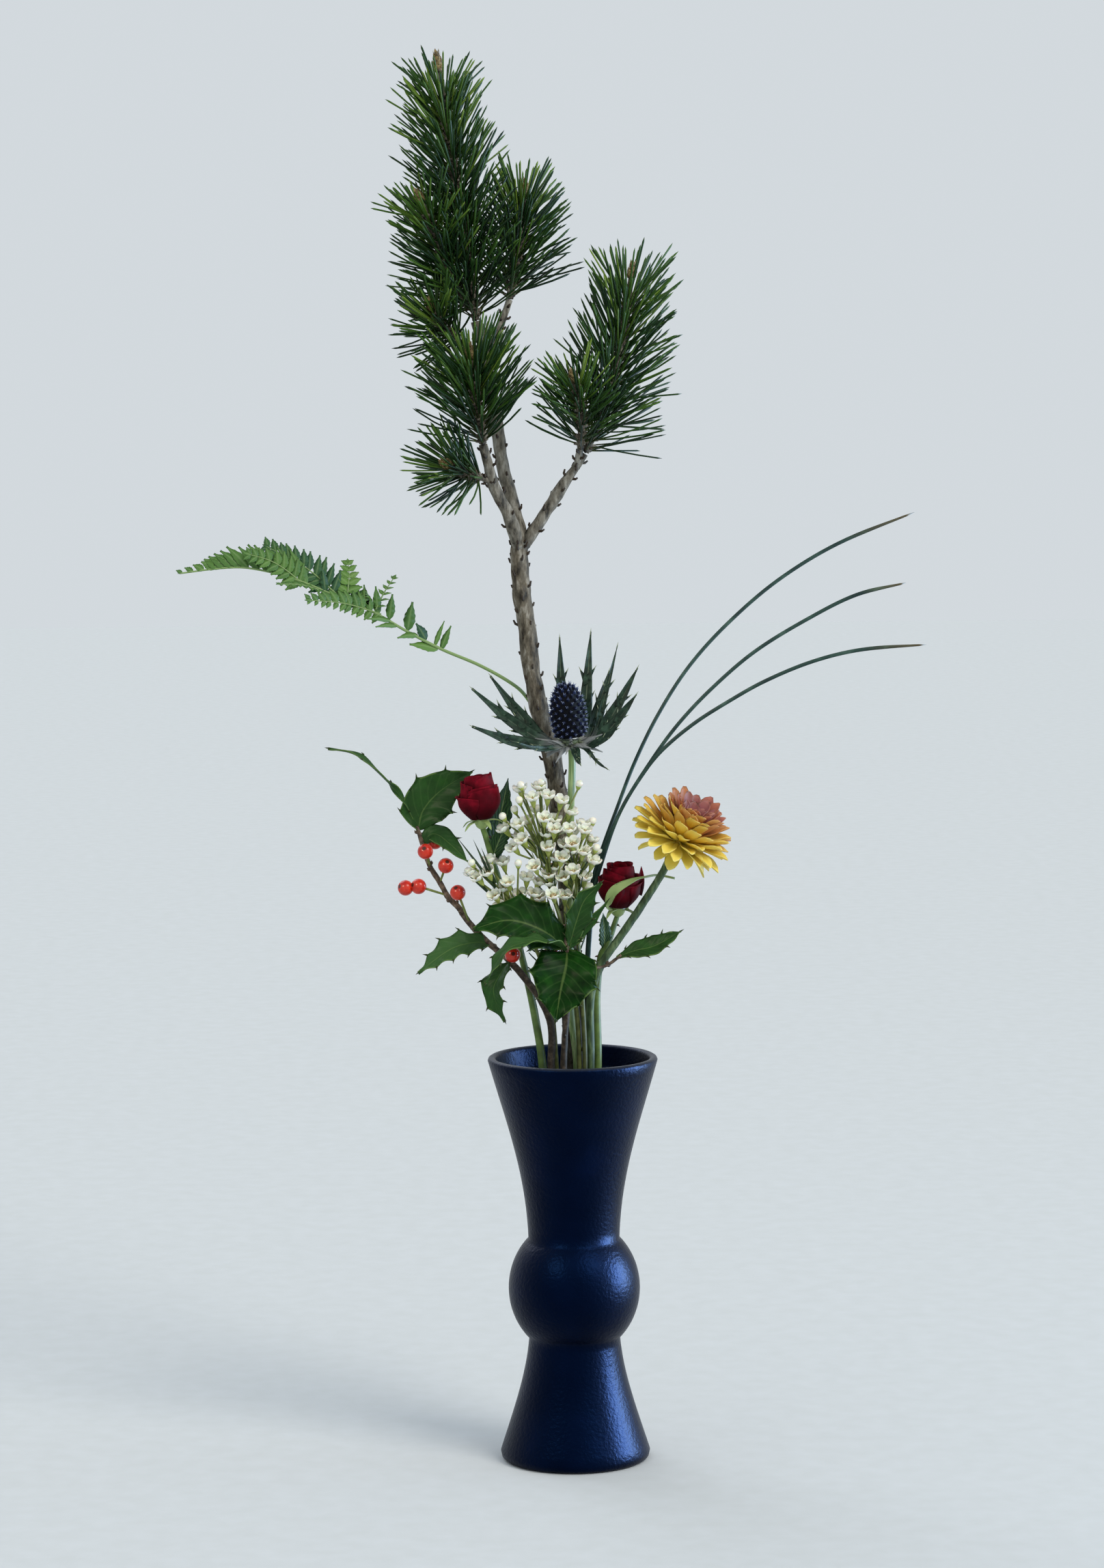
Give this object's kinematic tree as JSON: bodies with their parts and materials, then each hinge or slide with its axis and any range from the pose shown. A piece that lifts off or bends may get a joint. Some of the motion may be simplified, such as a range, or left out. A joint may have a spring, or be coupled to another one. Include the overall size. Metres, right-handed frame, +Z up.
{
  "type": "ikebana arrangement",
  "caption": "Tall asymmetric flower arrangement in a waisted vase: pine branch, fern, spiky bloom, grass, holly, roses and a daisy-like bloom.",
  "frame": {"origin": "centre of the vase foot, on the surface it stands on", "axes": "+Z up along the vase, -Y towards the viewer of the picture, +X to the viewer's right"},
  "size_m": [0.4512, 0.1213, 0.8587],
  "materials": {
    "glaze": "dark navy satin glaze, faintly pebbled",
    "water": "clear still water",
    "bark": "rough brown pine bark with leaf scars",
    "needles": "dark green satin pine needles",
    "fern": "leathery mid green with paler midribs",
    "bracts": "grey-green spiny bracts with pale ribs",
    "cone": "navy cone of studs with pale tips",
    "grass": "blue-green steel grass",
    "rays": "yellow petals with cream edges",
    "crown": "bronze to mauve-pink petals",
    "green_stem": "fresh green stems, sepals and leaves",
    "rose": "deep red velvety petals",
    "waxflower": "waxy white florets on pale green stalks",
    "holly": "glossy dark green leaves on brown twigs",
    "berry": "glossy red berries"
  },
  "bodies": {
    "root": {"vase": "glaze", "chrysanthemum_stem": "green_stem", "chrysanthemum_rays": "rays", "chrysanthemum_crown": "crown", "rose_left_stem": "green_stem", "rose_left_bloom": "rose", "rose_right_stem": "green_stem", "rose_right_bloom": "rose", "holly_left": "holly", "holly_front": "holly", "holly_berry_left_pair": "berry", "holly_berry_left_low": "berry", "holly_berry_left_middle": "berry", "holly_berry_left_front": "berry", "holly_berry_left_back": "berry", "holly_berry_under_leaf": "berry", "holly_berry_front": "berry", "sea_holly_stem": "bracts", "sea_holly_cone": "cone", "grass_upper": "grass", "grass_middle": "grass", "grass_lower": "grass", "fern_frond": "fern", "waxflower_left": "waxflower", "waxflower_centre": "waxflower", "waxflower_right": "waxflower", "pine_wood": "bark", "pine_needles_leader": "needles", "pine_needles_second": "needles", "pine_needles_left": "needles", "pine_needles_right": "needles", "pine_needles_tuft_left": "needles", "pine_needles_side_left": "needles", "pine_needles_side_right": "needles", "water": "water"}
  },
  "joints": []
}
